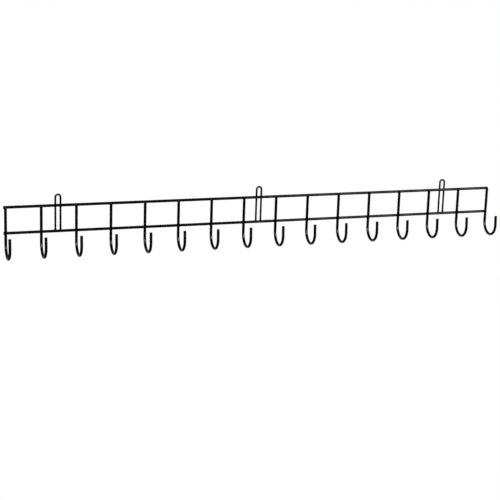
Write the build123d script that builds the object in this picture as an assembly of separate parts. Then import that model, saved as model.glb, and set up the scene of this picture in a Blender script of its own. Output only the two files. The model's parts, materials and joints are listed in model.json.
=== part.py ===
from build123d import *
import os

# Garden tool hanger rack, welded from round steel wire: two straight rails, J hooks across
# their fronts and hairpin hanging loops on their backs.
# +X runs along the rack, -Y points out from the wall, +Z is up, and lengths are in millimetres.
# The origin is on the wall, at the centre of the round eye of the centre hanging loop.

# Rails
rail_length = 914.4
rail_wire = 5.0
rail_spacing = 44.8
rail_end_overhang = 3.0

# Hooks, which bend past a half turn by the overbend, in degrees, so that their tips lean in
hook_count = 16
hook_wire = 5.0
hook_inside_width = 37.0
hook_drop_below_rail = 17.5
hook_overbend = 4.0
hook_tip_length = 16.6
hook_top_above_rail = 1.0

# Hanging loops
loop_wire = 3.5
loop_inside_width = 5.4
loop_eye_above_rail = 13.5
loop_leg_below_rail = 3.0
end_loop_gap = 2

# Depth that crossing wires sink into each other at a weld
hook_weld_depth = 0.5
loop_weld_depth = 0.4

# Rounding of every cut wire end
cut_end_rounding = 0.4

# Heights of the rails
upper_rail_z = -loop_eye_above_rail
lower_rail_z = upper_rail_z - rail_spacing

# Distances from the wall: the loops lie on it, the rails on the loops, the hooks on the rails
loop_y = -loop_wire / 2
rail_y = loop_y - (loop_wire + rail_wire) / 2 + loop_weld_depth
shank_y = rail_y - (rail_wire + hook_wire) / 2 + hook_weld_depth

# Places along the rack
end_hook_x = rail_length / 2 - rail_end_overhang
hook_pitch = 2 * end_hook_x / (hook_count - 1)
hook_places = [i * hook_pitch - end_hook_x for i in range(hook_count)]
end_loop_x = end_hook_x - (end_loop_gap - 0.5) * hook_pitch
loop_places = {"left": -end_loop_x, "centre": 0.0, "right": end_loop_x}


def bent_wire(path, diameter):
    """Round wire along a path of tangent lines and arcs, with its two cut ends rounded."""
    section = Plane(origin=path @ 0, z_dir=path % 0) * Circle(diameter / 2)
    wire = sweep(section, path=path)
    cut_ends = wire.faces().filter_by(GeomType.PLANE)
    return fillet(cut_ends.edges(), cut_end_rounding)


def rail(height):
    """Straight rail, centred along the rack."""
    left = (-rail_length / 2, rail_y, height)
    right = (rail_length / 2, rail_y, height)
    return bent_wire(Wire([Line(left, right)]), rail_wire)


def hook():
    """J hook at the middle of the rack: shank down the front of the rails, round bend and leaning tip.

    Its path is drawn on the YZ plane, so a point there is (Y, Z).
    """
    shank_top = (shank_y, upper_rail_z + hook_top_above_rail)
    shank_end = (shank_y, lower_rail_z - hook_drop_below_rail)
    bend_radius = (hook_inside_width + hook_wire) / 2
    shank = Line(shank_top, shank_end)
    bend = JernArc(shank @ 1, shank % 1, bend_radius, -180 - hook_overbend)
    tip = Line(bend @ 1, bend @ 1 + hook_tip_length * (bend % 1))
    return bent_wire(Plane.YZ * Wire([shank, bend, tip]), hook_wire)


def hanging_loop():
    """Hairpin loop at the middle of the rack: two legs down the back of the rails, joined by a round eye."""
    eye_radius = (loop_inside_width + loop_wire) / 2
    leg_end_z = lower_rail_z - loop_leg_below_rail
    left_leg = Line((-eye_radius, loop_y, leg_end_z), (-eye_radius, loop_y, 0))
    eye = ThreePointArc((-eye_radius, loop_y, 0), (0, loop_y, eye_radius), (eye_radius, loop_y, 0))
    right_leg = Line((eye_radius, loop_y, 0), (eye_radius, loop_y, leg_end_z))
    return bent_wire(Wire([left_leg, eye, right_leg]), loop_wire)


upper_rail = rail(upper_rail_z)
lower_rail = rail(lower_rail_z)
pieces = {"upper_rail": upper_rail, "lower_rail": lower_rail}

# The rails press a shallow saddle into each wire that is welded across them.
one_hook = hook()
for number, x in enumerate(hook_places, start=1):
    pieces[f"hook_{number:02d}"] = Pos(x, 0, 0) * one_hook - upper_rail - lower_rail

one_loop = hanging_loop()
for side, x in loop_places.items():
    pieces[f"{side}_hanging_loop"] = Pos(x, 0, 0) * one_loop - upper_rail - lower_rail

os.makedirs("parts", exist_ok=True)
for name, piece in pieces.items():
    export_step(piece, f"parts/{name}.step")
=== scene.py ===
import json
import math

import bmesh
import bpy
import numpy as np
from mathutils import Matrix, Vector

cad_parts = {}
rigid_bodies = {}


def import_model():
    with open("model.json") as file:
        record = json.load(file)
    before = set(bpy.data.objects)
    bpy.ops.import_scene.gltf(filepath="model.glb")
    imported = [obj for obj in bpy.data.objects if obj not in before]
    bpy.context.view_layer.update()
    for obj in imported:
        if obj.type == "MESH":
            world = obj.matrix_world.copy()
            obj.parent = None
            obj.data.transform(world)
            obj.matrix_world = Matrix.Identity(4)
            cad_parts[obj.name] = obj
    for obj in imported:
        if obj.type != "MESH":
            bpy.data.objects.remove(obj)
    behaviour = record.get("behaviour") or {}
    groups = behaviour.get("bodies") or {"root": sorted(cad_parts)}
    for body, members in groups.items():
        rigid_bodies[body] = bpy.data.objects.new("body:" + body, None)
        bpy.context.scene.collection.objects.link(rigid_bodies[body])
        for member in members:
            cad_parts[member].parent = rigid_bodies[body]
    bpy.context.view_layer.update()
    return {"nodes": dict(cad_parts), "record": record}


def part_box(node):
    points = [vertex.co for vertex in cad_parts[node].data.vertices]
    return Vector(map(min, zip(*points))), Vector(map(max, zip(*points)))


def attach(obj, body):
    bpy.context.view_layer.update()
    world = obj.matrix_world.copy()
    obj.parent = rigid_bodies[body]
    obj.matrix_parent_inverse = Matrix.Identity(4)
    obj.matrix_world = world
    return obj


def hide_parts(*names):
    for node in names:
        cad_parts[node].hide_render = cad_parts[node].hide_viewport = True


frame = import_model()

# Garden tool hanger rack: welded steel wire under a black powder coat, in soft studio light.
# Lengths are in metres. +X runs along the rack, -Y points out from the wall and +Z is up.

MILLIMETRE = 0.001
QUARTER_TURN = math.pi / 2

# Camera: the middle of the lower rail, in the plane of the hook shanks, stands at TARGET_PIXEL
IMAGE_SIDE = 500.0
TARGET_PIXEL = (259.53, 222.08)
FOCAL_LENGTH_PIXELS = 1399.6
VIEW_DISTANCE = 2.5070
VIEW_AZIMUTH = math.radians(-19.54)
VIEW_ELEVATION = math.radians(14.09)
VIEW_ROLL = math.radians(1.88)
SENSOR_WIDTH = 36.0

# Coated wire: sides around it, rings along each run and bend, rounding of a cut end,
# and the bead of coating that gathers on a rail's end
WIRE_SIDES = 32
RAIL_RINGS = 200
HOOK_RINGS = 60
HOOK_BEND_RINGS = 64
LOOP_RINGS = 60
LOOP_BEND_RINGS = 48
END_ROUNDING = 0.4 * MILLIMETRE
BEAD_RISE = 0.12 * MILLIMETRE
BEAD_REACH = 3.5 * MILLIMETRE

# Saddle of a bend, its rubbed inner face: the shares of the bend's depth at which it starts and is full
SADDLE_START = 0.3125
SADDLE_FULL = 0.9375

# Weld fillets: how far each reaches along the two wires that cross, how uneven that is,
# how deep its edges sink into the wires, and how finely it is made
HOOK_FILLET_LEG = 0.85 * MILLIMETRE
LOOP_FILLET_LEG = 0.65 * MILLIMETRE
FILLET_WAVINESS = 0.11
FINER_WAVE = 0.6
FILLET_SINK = 0.06 * MILLIMETRE
FILLET_STEPS = 48
FILLET_POINTS = 7
FILLET_SHAPES = 3
OUTLINE_STEP = 0.01 * MILLIMETRE
FLANK_SHARE = 0.99
WELD_SEED = 11

# Texture of the powder coat: sizes across and heights. Nibs stand in a few of the cells that part
# the surface at their spacing, and their radius is a share of it.
PEEL_SIZE = 1.6 * MILLIMETRE
PEEL_HEIGHT = 0.07 * MILLIMETRE
WELD_LUMP_HEIGHT = 0.02 * MILLIMETRE
GRAIN_SIZE = 0.35 * MILLIMETRE
GRAIN_HEIGHT = 0.004 * MILLIMETRE
CLOUD_SIZE = 26.0 * MILLIMETRE
NIB_SPACING = 5.0 * MILLIMETRE
NIB_RADIUS = 0.16
NIB_CHANCE = 0.12
NIB_HEIGHT = 0.035 * MILLIMETRE

# Colour and gloss of the powder coat: sound and clouded, thin at a cut end, and rubbed in a saddle,
# where it starts and is full at these shares of the clouds
COAT_BLACK = (0.0010, 0.0010, 0.0011, 1.0)
COAT_CLOUDED = (0.0022, 0.0022, 0.0022, 1.0)
COAT_THIN = (0.020, 0.0195, 0.019, 1.0)
COAT_RUBBED = (0.010, 0.010, 0.010, 1.0)
COAT_ROUGHNESS = 0.16
CLOUD_ROUGHNESS = 0.16
GRAIN_ROUGHNESS = 0.05
WEAR_ROUGHNESS = 0.1
THIN_REACH = 1.5 * END_ROUNDING
THIN_LEAST = 0.35
THIN_SHOWS = 0.8
RUBBED_START = 0.3125
RUBBED_FULL = 0.7292
RUBBED_SHOWS = 0.5

# Studio: the rack hangs at eye level in a dim room, in front of a white backdrop.
# A white floor runs along the line of sight from behind the rack, where its shadow falls.
# In the gloss the backdrop is white out to its core and fades out to its edge. Both are cosines
# of angles from the line of sight.
WHITE = (1.0, 1.0, 1.0, 1.0)
MATT_WHITE = (0.85, 0.85, 0.85, 1.0)
FLOOR_DROP = 1.6
FLOOR_START = 1.0
FLOOR_WIDTH = 3.0
FLOOR_LENGTH = 9.0
FLOOR_WHITENESS = 0.998
ROOM_FRONT = 0.02
ROOM_BACK = 0.12
BACKDROP_CORE = math.cos(math.radians(15.0))
BACKDROP_EDGE = math.cos(math.radians(30.0))

# Softboxes: the place, the width and height, and the power in watts of each
SOFTBOXES = {
    "front_light": ((-0.95, -2.75, 0.90), (1.1, 1.8), 68.0),
    "side_light": ((1.33, -1.75, 0.70), (1.25, 0.6), 13.4),
}


class Socket:
    """An output of a node tree. Arithmetic on it adds Math nodes, and node() adds any other node."""

    def __init__(self, tree, output=None):
        self.tree = tree
        self.output = output

    @staticmethod
    def find(sockets, key):
        """The socket in use that has this name or position."""
        if isinstance(key, int):
            return sockets[key]
        return next(s for s in sockets if s.enabled and s.name == key)

    def node(self, kind, settings=None, sockets=None, out=None):
        """Add a node, with its settings first, then the values or links of its sockets."""
        added = self.tree.nodes.new(kind)
        for name, value in (settings or {}).items():
            setattr(added, name, value)
        for key, value in (sockets or {}).items():
            target = self.find(added.inputs, key)
            if isinstance(value, Socket):
                self.tree.links.new(value.output, target)
            else:
                target.default_value = value
        if not added.outputs:
            return None
        if out is None:
            return Socket(self.tree, next(s for s in added.outputs if s.enabled))
        return Socket(self.tree, self.find(added.outputs, out))

    def math(self, operation, *values):
        return self.node("ShaderNodeMath", {"operation": operation}, dict(enumerate(values)))

    def __add__(self, other):
        return self.math("ADD", self, other)

    def __radd__(self, other):
        return self.math("ADD", other, self)

    def __sub__(self, other):
        return self.math("SUBTRACT", self, other)

    def __rsub__(self, other):
        return self.math("SUBTRACT", other, self)

    def __mul__(self, other):
        return self.math("MULTIPLY", self, other)

    def __rmul__(self, other):
        return self.math("MULTIPLY", other, self)

    def __truediv__(self, other):
        return self.math("DIVIDE", self, other)

    def __rtruediv__(self, other):
        return self.math("DIVIDE", other, self)

    def least(self, other):
        return self.math("MINIMUM", self, other)

    def most(self, other):
        return self.math("MAXIMUM", self, other)

    def between(self, start, full):
        """0 at the start value and 1 at the full one, in proportion."""
        return (self - start) / (full - start)

    def held(self):
        """Held between 0 and 1."""
        return self.most(0.0).least(1.0)

    def eased(self):
        """Held between 0 and 1, and smooth at both ends."""
        share = self.held()
        return share * share * (3.0 - 2.0 * share)


def material_net(name):
    """An empty node material and the net that its nodes go into."""
    material = bpy.data.materials.new(name)
    material.use_nodes = True
    material.node_tree.nodes.clear()
    return material, Socket(material.node_tree)


def noise(net, place, size, detail):
    """Soft noise around 0.5, with features of this size."""
    return net.node("ShaderNodeTexNoise", {}, {"Vector": place, "Scale": 1.0 / size, "Detail": detail})


def blended(net, share, first, second):
    """A colour between two, by a share from 0 to 1."""
    colours = {"Factor": share, "A": first, "B": second}
    return net.node("ShaderNodeMix", {"data_type": "RGBA"}, colours)


def powder_coat(name, lump_height, worn):
    """Semi-gloss black powder coat: orange peel, fine grain, cloudy gloss and a few dust nibs."""
    material, net = material_net(name)
    place = net.node("ShaderNodeTexCoord", out="Object")
    peel = noise(net, place, PEEL_SIZE, 2.0)
    grain = noise(net, place, GRAIN_SIZE, 1.0)
    cloud = noise(net, place, CLOUD_SIZE, 4.0)

    # Each cell holds one place for a dust nib, and its colour is its draw
    cells = {"Vector": place, "Scale": 1.0 / NIB_SPACING}
    to_nib = net.node("ShaderNodeTexVoronoi", {}, cells, "Distance")
    cell_colour = net.node("ShaderNodeTexVoronoi", {}, cells, "Color")
    draw = net.node("ShaderNodeSeparateColor", {}, {"Color": cell_colour}, "Red")
    chosen = net.math("GREATER_THAN", draw, 1.0 - NIB_CHANCE)
    nib = (1.0 - to_nib / NIB_RADIUS).eased() * chosen

    height = peel * (PEEL_HEIGHT + lump_height) + grain * GRAIN_HEIGHT + nib * NIB_HEIGHT
    bump = {"Height": height, "Distance": 1.0, "Strength": 1.0}
    normal = net.node("ShaderNodeBump", {}, bump)
    roughness = COAT_ROUGHNESS + (cloud - 0.5) * CLOUD_ROUGHNESS + (grain - 0.5) * GRAIN_ROUGHNESS
    colour = blended(net, cloud, COAT_BLACK, COAT_CLOUDED)
    if worn:
        # The coat is thin on cut ends and their edges, and rubbed a little smoother inside each bend
        from_end = net.node("ShaderNodeAttribute", {"attribute_name": "from_end"}, out="Fac")
        saddle = net.node("ShaderNodeAttribute", {"attribute_name": "saddle"}, out="Fac")
        thin = (1.0 - from_end / THIN_REACH).eased() * (THIN_LEAST + peel)
        rubbed = saddle * cloud.between(RUBBED_START, RUBBED_FULL).held()
        roughness = roughness + (thin - rubbed) * WEAR_ROUGHNESS
        colour = blended(net, (thin * THIN_SHOWS).held(), colour, COAT_THIN)
        colour = blended(net, rubbed * RUBBED_SHOWS, colour, COAT_RUBBED)
    finish = {"Base Color": colour, "Roughness": roughness, "Normal": normal}
    shader = net.node("ShaderNodeBsdfPrincipled", {}, finish)
    net.node("ShaderNodeOutputMaterial", {}, {"Surface": shader})
    return material


def background_rays(net):
    """1 for rays straight from the camera, and 1 for rays mirrored by a gloss or let through a glass."""
    rays = ("Is Camera Ray", "Is Glossy Ray", "Is Transmission Ray")
    direct, mirrored, through = [net.node("ShaderNodeLightPath", out=ray) for ray in rays]
    return direct, (mirrored + through).held()


def pale_floor(name):
    """White floor for the eye, over a pale matt floor that takes the shadows."""
    material, net = material_net(name)
    direct, mirrored = background_rays(net)
    matt = net.node("ShaderNodeBsdfDiffuse", {}, {"Color": MATT_WHITE})
    white = net.node("ShaderNodeEmission", {}, {"Color": WHITE, "Strength": 1.0})
    layers = {"Fac": (direct + mirrored).held() * FLOOR_WHITENESS, 1: matt, 2: white}
    net.node("ShaderNodeOutputMaterial", {}, {"Surface": net.node("ShaderNodeMixShader", {}, layers)})
    return material


def geometry_net(name, inputs):
    """An empty geometry tree with these inputs, its net and a socket for each input."""
    tree = bpy.data.node_groups.new(name, "GeometryNodeTree")
    tree.interface.new_socket("Geometry", in_out="OUTPUT", socket_type="NodeSocketGeometry")
    for label, kind in inputs.items():
        tree.interface.new_socket(label, in_out="INPUT", socket_type=kind)
    net = Socket(tree)
    given = {label: net.node("NodeGroupInput", out=label) for label in inputs}
    return tree, net, given


def close_geometry(net, geometry, material):
    """End a geometry tree with one real, smooth mesh in its material."""
    geometry = net.node("GeometryNodeRealizeInstances", {}, {"Geometry": geometry})
    geometry = net.node("GeometryNodeSetShadeSmooth", {}, {"Geometry": geometry})
    geometry = net.node("GeometryNodeSetMaterial", {}, {"Geometry": geometry, "Material": material})
    net.node("NodeGroupOutput", {}, {"Geometry": geometry})


def grown_mesh(tree, values, start=None):
    """Run a geometry tree with these input values and keep its result as a plain mesh."""
    carrier = bpy.data.objects.new(tree.name, start or bpy.data.meshes.new(tree.name))
    bpy.context.scene.collection.objects.link(carrier)
    modifier = carrier.modifiers.new(tree.name, "NODES")
    modifier.node_group = tree
    for item in tree.interface.items_tree:
        if item.in_out == "INPUT" and item.name in values:
            modifier[item.identifier] = values[item.name]
    evaluated = carrier.evaluated_get(bpy.context.evaluated_depsgraph_get())
    mesh = bpy.data.meshes.new_from_object(evaluated)
    bpy.data.objects.remove(carrier)
    return mesh


def add_piece(name, mesh, *replaced):
    """Make a mesh a piece of the rack, in place of the named solids if there are any."""
    mesh.name = name
    piece = bpy.data.objects.new(name, mesh)
    bpy.context.scene.collection.objects.link(piece)
    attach(piece, "root")
    if replaced:
        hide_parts(*replaced)


def with_number(net, geometry, name, value):
    """Geometry that keeps a number at each of its points, under this name."""
    kept = {"Geometry": geometry, "Name": name, "Value": value}
    return net.node("GeometryNodeStoreNamedAttribute", {"data_type": "FLOAT", "domain": "POINT"}, kept)


def coated_wire_tree():
    """Geometry tree of a round wire: a straight run, one bend towards local X and another straight run.

    It starts at the local origin and runs off along local Z.
    """
    lengths = ("Run In", "Bend Radius", "Bend Angle", "Run Out")
    section_sizes = ("Wire Radius", "End Rounding", "Bead Rise", "Bead Reach")
    counts = ("Run Rings", "Bend Rings", "Sides")
    inputs = {label: "NodeSocketFloat" for label in lengths + section_sizes}
    inputs.update({label: "NodeSocketInt" for label in counts})
    inputs["Coat"] = "NodeSocketMaterial"
    tree, net, given = geometry_net("coated_wire", inputs)
    run_in, bend_radius, bend_angle, run_out = [given[label] for label in lengths]
    radius, rounding, bead_rise, bead_reach = [given[label] for label in section_sizes]
    run_rings, bend_rings, sides = [given[label] for label in counts]

    # Rings stand closer together towards the two cut ends, and evenly around the bend
    line = net.node("GeometryNodeCurvePrimitiveLine", {}, {"End": (0.0, 0.0, 1.0)})
    counted = {"Curve": line, "Count": run_rings * 2.0 + bend_rings + 1.0}
    curve = net.node("GeometryNodeResampleCurve", {"mode": "COUNT"}, counted)
    ring = net.node("GeometryNodeInputIndex")
    share_in = (ring / run_rings).held()
    share_bent = ((ring - run_rings) / bend_rings).held()
    share_out = ((ring - run_rings - bend_rings) / run_rings).held()
    along_in = run_in * (1.0 - net.math("COSINE", share_in * QUARTER_TURN))
    turned = bend_angle * share_bent
    along_out = run_out * net.math("SINE", share_out * QUARTER_TURN)

    bent_ahead = bend_radius * net.math("SINE", turned)
    bent_aside = bend_radius * (1.0 - net.math("COSINE", turned))
    ahead = along_in + bent_ahead + along_out * net.math("COSINE", bend_angle)
    aside = bent_aside + along_out * net.math("SINE", bend_angle)
    place = net.node("ShaderNodeCombineXYZ", {}, {"X": aside, "Z": ahead})
    along = along_in + bend_radius * turned + along_out
    whole = run_in + bend_radius * bend_angle + run_out

    # Each end is rounded at its edge, and the coat swells a little just behind it
    from_end = along.least(whole - along)
    corner = (1.0 - from_end / rounding).held()
    rounded = 1.0 - rounding / radius * (1.0 - net.math("SQRT", 1.0 - corner * corner))
    swelling = 1.0 + bead_rise / radius * (1.0 - from_end / bead_reach).eased()
    curve = with_number(net, curve, "from_end", from_end)
    curve = with_number(net, curve, "thickness", rounded * swelling)
    curve = net.node("GeometryNodeSetPosition", {}, {"Geometry": curve, "Position": place})
    section = net.node("GeometryNodeCurvePrimitiveCircle", {}, {"Resolution": sides, "Radius": radius})
    stored = {"data_type": "FLOAT"}
    thickness = net.node("GeometryNodeInputNamedAttribute", stored, {"Name": "thickness"}, "Attribute")
    sweep = {"Curve": curve, "Profile Curve": section, "Scale": thickness, "Fill Caps": True}
    mesh = net.node("GeometryNodeCurveToMesh", {}, sweep)

    # The saddle is the inner face of the bend, where a load hangs or a wall screw carries the rack
    point = net.node("GeometryNodeInputPosition")
    x = net.node("ShaderNodeSeparateXYZ", {}, {"Vector": point}, "X") - bend_radius
    z = net.node("ShaderNodeSeparateXYZ", {}, {"Vector": point}, "Z") - run_in
    inward = (bend_radius - net.math("SQRT", x * x + z * z)) / radius
    deep = (z / bend_radius).between(SADDLE_START, SADDLE_FULL).eased()
    mesh = with_number(net, mesh, "saddle", inward.held() * deep * bend_angle.least(1.0))
    close_geometry(net, mesh, given["Coat"])
    return tree


def placing(start, ahead, aside):
    """Matrix that puts a wire's start at a point and turns its local Z and X to these directions."""
    ahead, aside = Vector(ahead), Vector(aside)
    turn = Matrix((aside, ahead.cross(aside), ahead)).transposed()
    return Matrix.Translation(start) @ turn.to_4x4()


def walked(outline, length):
    """Point on an outline at this distance from its start, and the outline's direction there."""
    steps = np.diff(outline, axis=0)
    past = np.cumsum(np.linalg.norm(steps, axis=1))
    last = np.searchsorted(past, length)
    way = steps[last] / np.linalg.norm(steps[last])
    return outline[last + 1] - (past[last] - length) * way, way


def upright_outline(across, upward, radius, spacing, top, longest):
    """Outline of an upright wire in a plane that holds the Y axis, as points (distance out from it, Y).

    It runs outwards on the wire's side for the longest distance, or nearly to the flank, or to the cut end
    and across that, whichever comes first.
    """
    cut = top / upward if upward > 0.0 else math.inf
    flank = FLANK_SHARE * radius / across if across > 0.0 else math.inf
    side_end = min(cut, flank, longest)
    reach = np.arange(0.0, side_end, OUTLINE_STEP)
    corner = np.clip((reach * upward - top) / END_ROUNDING + 1.0, 0.0, 1.0)
    rounded = radius - END_ROUNDING * (1.0 - np.sqrt(1.0 - corner**2))
    side = np.sqrt(np.maximum(rounded**2 - (reach * across)**2, 0.0)) - spacing
    outline = np.column_stack((reach, side))
    if side_end < cut:
        return outline
    depth = np.arange(side[-1], -spacing, -OUTLINE_STEP)
    return np.vstack((outline, np.column_stack((np.full(len(depth), cut), depth))))


def fillet_section(direction, leg, upright_radius, rail_radius, spacing, top):
    """Section of a weld fillet, as points (distance out from the Y axis, Y) around it.

    Its plane holds the Y axis and points in this direction, from +X towards +Z. The rail's axis is X.
    The upright wire is parallel to Z, at this spacing towards -Y, and its cut end is at this height.
    """
    across, upward = abs(math.cos(direction)), math.sin(direction)

    def rail_face(reach):
        return -np.sqrt(np.maximum(rail_radius**2 - (reach * upward)**2, 0.0))

    # The outlines of the two wires part at a corner, and the fillet reaches one leg along each
    upright = upright_outline(across, upward, upright_radius, spacing, top, 2 * rail_radius)
    sunk = np.flatnonzero(upright[:, 1] > rail_face(upright[:, 0]))[-1]
    corner_reach = upright[sunk, 0]
    reach = np.arange(corner_reach, corner_reach + 2 * leg, OUTLINE_STEP)
    near, near_way = walked(upright[sunk:], leg)
    far, far_way = walked(np.column_stack((reach, rail_face(reach))), leg)

    # Its face is a hollow curve that leaves both wires smoothly, towards where the two directions meet
    back = np.linalg.solve(np.column_stack((near_way, -far_way)), near - far)[0]
    meeting = near - back * near_way
    shares = np.linspace(0.0, 1.0, FILLET_POINTS)
    face = [(1 - s)**2 * near + 2 * s * (1 - s) * meeting + s**2 * far for s in shares]

    # Its edges sink into the wires, and its root lies inside both of them
    near_edge = near + FILLET_SINK * np.array((near_way[1], -near_way[0]))
    far_edge = far + FILLET_SINK * np.array((-far_way[1], far_way[0]))
    root_reach = corner_reach / 2
    root = np.array((root_reach, (rail_face(root_reach) + upright_radius - spacing) / 2))
    return [near_edge, *face, far_edge, root]


def weld_fillet(name, side, leg, waves, **wires):
    """Ring of weld metal around the local Y axis, where an upright wire crosses a rail.

    The upright lies towards -Y from the rail if side is 1, and towards +Y if side is -1.
    """
    shape = bmesh.new()
    spokes = []
    for direction in np.linspace(0.0, 2 * math.pi, FILLET_STEPS, endpoint=False):
        uneven = math.sin(2 * direction + waves[0]) + FINER_WAVE * math.sin(3 * direction + waves[1])
        section = fillet_section(direction, leg * (1.0 + FILLET_WAVINESS * uneven), **wires)
        x, z = math.cos(direction), math.sin(direction)
        spokes.append([shape.verts.new((out * x, side * y, out * z)) for out, y in section])
    for spoke, following in zip(spokes, spokes[1:] + spokes[:1]):
        for i in range(len(spoke)):
            shape.faces.new((spoke[i - 1], spoke[i], following[i], following[i - 1]))
        # The shading breaks only where the fillet sinks into the two wires
        for i in (1, FILLET_POINTS):
            shape.edges.get((spoke[i], following[i])).smooth = False
    bmesh.ops.recalc_face_normals(shape, faces=shape.faces)
    mesh = bpy.data.meshes.new(name)
    shape.to_mesh(mesh)
    shape.free()
    return mesh


def weld_tree():
    """Geometry tree that sets one of a few weld fillets on every crossing, upright or half turned."""
    inputs = {
        "Crossings": "NodeSocketGeometry",
        "Fillets": "NodeSocketCollection",
        "Half Turns": "NodeSocketInt",
        "Seed": "NodeSocketInt",
        "Coat": "NodeSocketMaterial",
    }
    tree, net, given = geometry_net("welds", inputs)
    choice = {"Min": 0, "Max": FILLET_SHAPES - 1, "Seed": given["Seed"]}
    shape = net.node("FunctionNodeRandomValue", {"data_type": "INT"}, choice)
    turning = {"Min": 0, "Max": given["Half Turns"], "Seed": given["Seed"] + 1.0}
    half_turns = net.node("FunctionNodeRandomValue", {"data_type": "INT"}, turning)
    angles = net.node("ShaderNodeCombineXYZ", {}, {"Y": half_turns * math.pi})
    turn = net.node("FunctionNodeEulerToRotation", {}, {"Euler": angles})
    children = {"Collection": given["Fillets"], "Separate Children": True, "Reset Children": True}
    fillets = net.node("GeometryNodeCollectionInfo", {}, children)
    setting = {
        "Points": given["Crossings"],
        "Instance": fillets,
        "Pick Instance": True,
        "Instance Index": shape,
        "Rotation": turn,
    }
    close_geometry(net, net.node("GeometryNodeInstanceOnPoints", {}, setting), given["Coat"])
    return tree


def add_welds(name, tree, crossings, fillet, half_turns, coat, random):
    """Weld fillets on these crossings, as one piece."""
    stock = bpy.data.collections.new(name)
    for number in range(FILLET_SHAPES):
        mesh = weld_fillet(f"{name}_{number}", waves=random.uniform(0.0, 2 * math.pi, 2), **fillet)
        stock.objects.link(bpy.data.objects.new(mesh.name, mesh))
    points = bpy.data.meshes.new(f"{name}_crossings")
    points.from_pydata(crossings, [], [])
    values = {"Fillets": stock, "Half Turns": half_turns, "Seed": WELD_SEED, "Coat": coat}
    mesh = grown_mesh(tree, values, points)
    for shape in list(stock.objects):
        bpy.data.objects.remove(shape)
    bpy.data.collections.remove(stock)
    add_piece(name, mesh)


def line_of_sight():
    """Direction in which the camera looks."""
    level = Vector((-math.sin(VIEW_AZIMUTH), math.cos(VIEW_AZIMUTH), 0.0)) * math.cos(VIEW_ELEVATION)
    return level - Vector((0.0, 0.0, math.sin(VIEW_ELEVATION)))


def aim_camera(target):
    """Place the camera so that the target stands at its pixel of the image."""
    ahead = line_of_sight()
    level = Vector((math.cos(VIEW_AZIMUTH), math.sin(VIEW_AZIMUTH), 0.0))
    upward = level.cross(ahead)
    right = level * math.cos(VIEW_ROLL) + upward * math.sin(VIEW_ROLL)
    up = upward * math.cos(VIEW_ROLL) - level * math.sin(VIEW_ROLL)
    across = (TARGET_PIXEL[0] - IMAGE_SIDE / 2) / FOCAL_LENGTH_PIXELS
    down = (TARGET_PIXEL[1] - IMAGE_SIDE / 2) / FOCAL_LENGTH_PIXELS
    place = target - VIEW_DISTANCE * (ahead + across * right - down * up)
    data = bpy.data.cameras.new("camera")
    data.sensor_width = SENSOR_WIDTH
    data.lens = SENSOR_WIDTH * FOCAL_LENGTH_PIXELS / IMAGE_SIDE
    camera = bpy.data.objects.new("camera", data)
    bpy.context.scene.collection.objects.link(camera)
    camera.matrix_world = Matrix.Translation(place) @ Matrix((right, up, -ahead)).transposed().to_4x4()
    bpy.context.scene.camera = camera


def add_softbox(name, target, place, size, power):
    """Rectangular area light that faces the target."""
    data = bpy.data.lights.new(name, "AREA")
    data.shape = "RECTANGLE"
    data.size, data.size_y = size
    data.energy = power
    light = bpy.data.objects.new(name, data)
    light.location = place
    light.rotation_euler = (Vector(target) - Vector(place)).to_track_quat("-Z", "Y").to_euler()
    light.visible_camera = False
    bpy.context.scene.collection.objects.link(light)


def add_floor(height):
    """Level strip of floor along the line of sight, from behind the rack into the distance."""
    mesh = bpy.data.meshes.new("floor")
    near, far, side = FLOOR_START, FLOOR_START + FLOOR_LENGTH, FLOOR_WIDTH / 2
    corners = [(-side, near, height), (side, near, height), (side, far, height), (-side, far, height)]
    mesh.from_pydata(corners, [], [(0, 1, 2, 3)])
    mesh.transform(Matrix.Rotation(VIEW_AZIMUTH, 4, "Z"))
    mesh.materials.append(pale_floor("pale_floor"))
    floor = bpy.data.objects.new("floor", mesh)
    bpy.context.scene.collection.objects.link(floor)


def add_surround():
    """White background for the eye. The gloss shows it behind the rack, and a dim room elsewhere."""
    world = bpy.data.worlds.new("surround")
    world.use_nodes = True
    world.node_tree.nodes.clear()
    net = Socket(world.node_tree)
    direct, mirrored = background_rays(net)
    direction = net.node("ShaderNodeTexCoord", out="Generated")
    towards_wall = net.node("ShaderNodeSeparateXYZ", {}, {"Vector": direction}, "Y")
    compared = {0: direction, 1: line_of_sight()}
    facing = net.node("ShaderNodeVectorMath", {"operation": "DOT_PRODUCT"}, compared, "Value")
    behind = facing.between(BACKDROP_EDGE, BACKDROP_CORE).eased()
    room_light = ROOM_FRONT + (ROOM_BACK - ROOM_FRONT) * towards_wall.eased()
    room = net.node("ShaderNodeBackground", {}, {"Color": WHITE, "Strength": room_light})
    backdrop = net.node("ShaderNodeBackground", {}, {"Color": WHITE, "Strength": 1.0})
    layers = {"Fac": (direct + mirrored * behind).held(), 1: room, 2: backdrop}
    net.node("ShaderNodeOutputWorld", {}, {"Surface": net.node("ShaderNodeMixShader", {}, layers)})
    bpy.context.scene.world = world


wire_coat = powder_coat("black_powder_coat", 0.0, worn=True)
weld_coat = powder_coat("black_powder_coat_on_welds", WELD_LUMP_HEIGHT, worn=False)
wire_tree = coated_wire_tree()
every_wire = {
    "End Rounding": END_ROUNDING,
    "Bead Rise": 0.0,
    "Bead Reach": BEAD_REACH,
    "Sides": WIRE_SIDES,
    "Coat": wire_coat,
}

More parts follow.
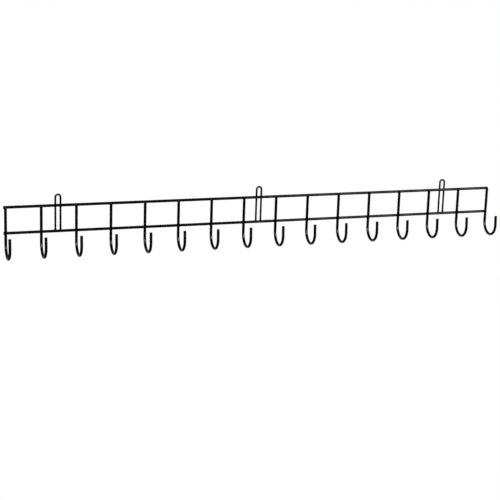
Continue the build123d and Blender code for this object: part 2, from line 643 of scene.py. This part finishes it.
# Rails: straight wires
rail_names = ("upper_rail", "lower_rail")
rail_low, rail_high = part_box("upper_rail")
rail_radius = (rail_high.z - rail_low.z) / 2
rail_y = (rail_low.y + rail_high.y) / 2
rail_heights = []
for name in rail_names:
    low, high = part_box(name)
    rail_heights.append((low.z + high.z) / 2)
    straight = {
        "Run In": (high.x - low.x) / 2,
        "Bend Radius": rail_radius,
        "Bend Angle": 0.0,
        "Run Out": (high.x - low.x) / 2,
        "Wire Radius": rail_radius,
        "Bead Rise": BEAD_RISE,
        "Run Rings": RAIL_RINGS,
        "Bend Rings": 0,
    }
    mesh = grown_mesh(wire_tree, {**every_wire, **straight})
    mesh.transform(placing((low.x, rail_y, rail_heights[-1]), (1, 0, 0), (0, 1, 0)))
    add_piece(f"{name}_wire", mesh, name)

# Hooks: a shank, a bend that goes a little past the half turn and a tip that leans in
hook_names = sorted(name for name in frame["nodes"] if name.startswith("hook_"))
hook_low, hook_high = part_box(hook_names[0])
hook_radius = (hook_high.x - hook_low.x) / 2
shank_y = hook_high.y - hook_radius
front_y = hook_low.y + hook_radius
hook_bend = (shank_y - front_y) / 2
hook_bend_z = hook_low.z + hook_radius + hook_bend
mounts = {mount["name"]: mount for mount in frame["record"]["mounts"]}
tip = mounts[f"{hook_names[0]}_tip"]
overbend = math.atan2(tip["axis"][1], tip["axis"][2])
bent = {
    "Run In": hook_high.z - hook_bend_z,
    "Bend Radius": hook_bend,
    "Bend Angle": math.pi + overbend,
    "Run Out": tip["dims"]["length_mm"] * MILLIMETRE + END_ROUNDING,
    "Wire Radius": hook_radius,
    "Run Rings": HOOK_RINGS,
    "Bend Rings": HOOK_BEND_RINGS,
}
one_hook = grown_mesh(wire_tree, {**every_wire, **bent})
hook_places = []
for name in hook_names:
    low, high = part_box(name)
    hook_places.append((low.x + high.x) / 2)
    mesh = one_hook.copy()
    mesh.transform(placing((hook_places[-1], shank_y, hook_high.z), (0, 0, -1), (0, -1, 0)))
    add_piece(f"{name}_wire", mesh, name)

# Hanging loops: two legs behind the rails, joined by a round eye
loop_names = sorted(name for name in frame["nodes"] if name.endswith("_hanging_loop"))
loop_low, loop_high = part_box(loop_names[0])
loop_radius = (loop_high.y - loop_low.y) / 2
loop_y = (loop_low.y + loop_high.y) / 2
eye_radius = (loop_high.x - loop_low.x) / 2 - loop_radius
leg_length = loop_high.z - loop_radius - eye_radius - loop_low.z
hairpin = {
    "Run In": leg_length,
    "Bend Radius": eye_radius,
    "Bend Angle": math.pi,
    "Run Out": leg_length,
    "Wire Radius": loop_radius,
    "Run Rings": LOOP_RINGS,
    "Bend Rings": LOOP_BEND_RINGS,
}
one_loop = grown_mesh(wire_tree, {**every_wire, **hairpin})
leg_places = []
for name in loop_names:
    low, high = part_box(name)
    legs = (low.x + loop_radius, high.x - loop_radius)
    leg_places.extend(legs)
    mesh = one_loop.copy()
    mesh.transform(placing((legs[0], loop_y, loop_low.z), (0, 0, 1), (1, 0, 0)))
    add_piece(f"{name}_wire", mesh, name)

# Welds: one fillet at each crossing of an upright wire and a rail. Every upright runs on past its
# crossings, apart from the hooks, which end on the upper rail.
random = np.random.default_rng(WELD_SEED)
welds = weld_tree()
hook_fillet = {
    "side": 1,
    "leg": HOOK_FILLET_LEG,
    "upright_radius": hook_radius,
    "rail_radius": rail_radius,
    "spacing": rail_y - shank_y,
    "top": math.inf,
}
hook_top_fillet = {**hook_fillet, "top": hook_high.z - rail_heights[0]}
loop_fillet = {
    "side": -1,
    "leg": LOOP_FILLET_LEG,
    "upright_radius": loop_radius,
    "rail_radius": rail_radius,
    "spacing": loop_y - rail_y,
    "top": math.inf,
}
hook_tops, hook_crossings = [[(x, rail_y, z) for x in hook_places] for z in rail_heights]
loop_crossings = [(x, rail_y, z) for z in rail_heights for x in leg_places]
add_welds("hook_top_welds", welds, hook_tops, hook_top_fillet, 0, weld_coat, random)
add_welds("hook_welds", welds, hook_crossings, hook_fillet, 1, weld_coat, random)
add_welds("loop_welds", welds, loop_crossings, loop_fillet, 1, weld_coat, random)

# Studio
middle = Vector((0.0, shank_y, rail_heights[1]))
aim_camera(middle)
add_floor(middle.z - FLOOR_DROP)
add_surround()
for name, (place, size, power) in SOFTBOXES.items():
    add_softbox(name, middle, place, size, power)

bpy.context.scene.view_settings.view_transform = "Standard"
